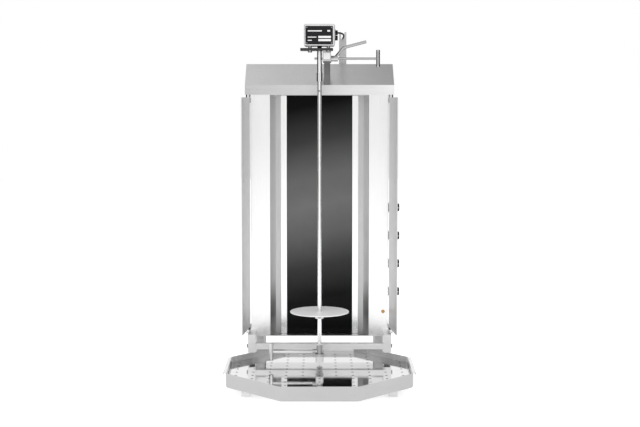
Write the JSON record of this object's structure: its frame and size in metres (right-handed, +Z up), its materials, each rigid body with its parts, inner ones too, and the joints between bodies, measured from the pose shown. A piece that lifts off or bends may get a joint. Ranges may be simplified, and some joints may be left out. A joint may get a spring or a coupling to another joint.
{
  "type": "rotisserie oven",
  "caption": "Upright rotisserie oven with a turning spit in front of stacked heaters, side wings, a hood and an eight-sided drip tray.",
  "frame": {"origin": "middle of the object's outer box, on the table", "axes": "+X to the object's right seen from the front, +Y to the back, +Z up; the front faces -Y"},
  "size_m": [0.53, 0.66, 1.0365],
  "materials": {
    "brushed_stainless": "brushed stainless steel sheet",
    "polished_stainless": "polished stainless steel",
    "tube_stainless": "satin stainless tube and bar",
    "dark_steel": "dark grey coated steel",
    "zinc_screws": "bright zinc-plated screws",
    "cast_alloy": "light grey coated alloy case",
    "black_glass": "black ceramic glass, polished",
    "heating_wire": "oxidised heating element",
    "insulation": "stands in for rigid ceramic fibre board",
    "black_plastic": "black moulded plastic",
    "white_plastic": "white moulded plastic",
    "grey_plastic": "light grey moulded plastic",
    "amber_plastic": "clear amber plastic",
    "rubber": "black rubber",
    "bronze": "bearing bronze",
    "label": "dark blank rating plate",
    "motor_steel": "laminated steel and windings"
  },
  "bodies": {
    "frame": {"base_frame": "brushed_stainless", "frame_feet": "rubber", "end_caps": "white_plastic", "side_panels": "polished_stainless", "cabinet_decks": "brushed_stainless", "reflectors": "polished_stainless", "glass_strips": "polished_stainless", "heater_glass": "black_glass", "heater_pans": "brushed_stainless", "heater_coils": "heating_wire", "insulation_board": "insulation", "rear_cover": "brushed_stainless", "cover_screws": "zinc_screws", "hood": "brushed_stainless", "leg_brackets": "brushed_stainless", "bracket_bolts": "zinc_screws", "lower_arm": "tube_stainless", "wing_pins": "tube_stainless", "heat_regulators": "white_plastic", "indicator_lamp": "amber_plastic", "terminal_block": "white_plastic", "inlet_gland": "black_plastic", "arm_post": "dark_steel", "upper_arm": "tube_stainless", "cable_post": "brushed_stainless", "motor_cable": "rubber"},
    "motor_carriage": {"motor_carriage": "tube_stainless", "motor_plate": "dark_steel", "plate_bolts": "zinc_screws", "motor_housing": "cast_alloy", "motor_label": "label", "motor_core": "motor_steel", "motor_bush": "black_plastic", "motor_gland": "black_plastic", "carriage_handle": "tube_stainless"},
    "spit": {"drive_tube": "polished_stainless", "spit": "polished_stainless", "spit_pin": "dark_steel"},
    "coupling_sleeve": {"coupling_sleeve": "tube_stainless"},
    "meat_disc": {"meat_disc": "polished_stainless", "disc_screw": "zinc_screws"},
    "bearing_carriage": {"bearing_carriage": "tube_stainless", "spit_bearing": "bronze"},
    "upper_clamp": {"upper_clamp": "tube_stainless"},
    "lower_clamp": {"lower_clamp": "tube_stainless"},
    "left_wing": {"left_wing": "brushed_stainless", "left_barrels": "black_plastic"},
    "right_wing": {"right_wing": "brushed_stainless", "right_barrels": "black_plastic"},
    "tray": {"drip_tray": "polished_stainless", "perforated_plate": "polished_stainless"},
    "knob_1": {"knob_1": "black_plastic", "knob_1_pointer": "grey_plastic"},
    "knob_2": {"knob_2": "black_plastic", "knob_2_pointer": "grey_plastic"},
    "knob_3": {"knob_3": "black_plastic", "knob_3_pointer": "grey_plastic"},
    "knob_4": {"knob_4": "black_plastic", "knob_4_pointer": "grey_plastic"}
  },
  "joints": [
    {"name": "top_carriage_slide", "type": "slide", "parent": "frame", "child": "motor_carriage", "axis": [0, 1, 0], "range_m": [0, 0.05], "deforming": ["motor_cable"]},
    {"name": "bottom_carriage_slide", "type": "slide", "parent": "frame", "child": "bearing_carriage", "axis": [0, 1, 0], "range_m": [0, 0.05]},
    {"name": "spit_turn", "type": "hinge", "parent": "motor_carriage", "child": "spit", "pos_m": [0, -0.021, 0.5], "axis": [0, 0, 1], "continuous": true},
    {"name": "coupling_sleeve_lift", "type": "slide", "parent": "spit", "child": "coupling_sleeve", "axis": [0, 0, 1], "range_m": [0, 0.02]},
    {"name": "disc_slide", "type": "slide", "parent": "spit", "child": "meat_disc", "axis": [0, 0, 1], "range_m": [0, 0.15]},
    {"name": "left_wing_swing", "type": "hinge", "parent": "frame", "child": "left_wing", "pos_m": [-0.211, 0.126, 0.5], "axis": [0, 0, -1], "range_deg": [-60, 85]},
    {"name": "right_wing_swing", "type": "hinge", "parent": "frame", "child": "right_wing", "pos_m": [0.211, 0.126, 0.5], "axis": [0, 0, 1], "range_deg": [-60, 85]},
    {"name": "upper_clamp_turn", "type": "hinge", "parent": "motor_carriage", "child": "upper_clamp", "pos_m": [0.1, 0, 0.942], "axis": [1, 0, 0], "range_deg": [0, 270]},
    {"name": "lower_clamp_turn", "type": "hinge", "parent": "bearing_carriage", "child": "lower_clamp", "pos_m": [-0.1, -0.021, 0.104], "axis": [-1, 0, 0], "range_deg": [0, 270]},
    {"name": "tray_slide", "type": "slide", "parent": "frame", "child": "tray", "axis": [0, -1, 0], "range_m": [0, 0.4]},
    {"name": "knob_1_turn", "type": "hinge", "parent": "frame", "child": "knob_1", "pos_m": [0.22, 0.205, 0.499], "axis": [1, 0, 0], "range_deg": [0, 270]},
    {"name": "knob_2_turn", "type": "hinge", "parent": "frame", "child": "knob_2", "pos_m": [0.22, 0.205, 0.4138], "axis": [1, 0, 0], "range_deg": [0, 270]},
    {"name": "knob_3_turn", "type": "hinge", "parent": "frame", "child": "knob_3", "pos_m": [0.22, 0.205, 0.3286], "axis": [1, 0, 0], "range_deg": [0, 270]},
    {"name": "knob_4_turn", "type": "hinge", "parent": "frame", "child": "knob_4", "pos_m": [0.22, 0.205, 0.2434], "axis": [1, 0, 0], "range_deg": [0, 270]}
  ],
  "couplings": [
    {"joint": "bottom_carriage_slide", "follows": "top_carriage_slide", "ratio": 1}
  ]
}
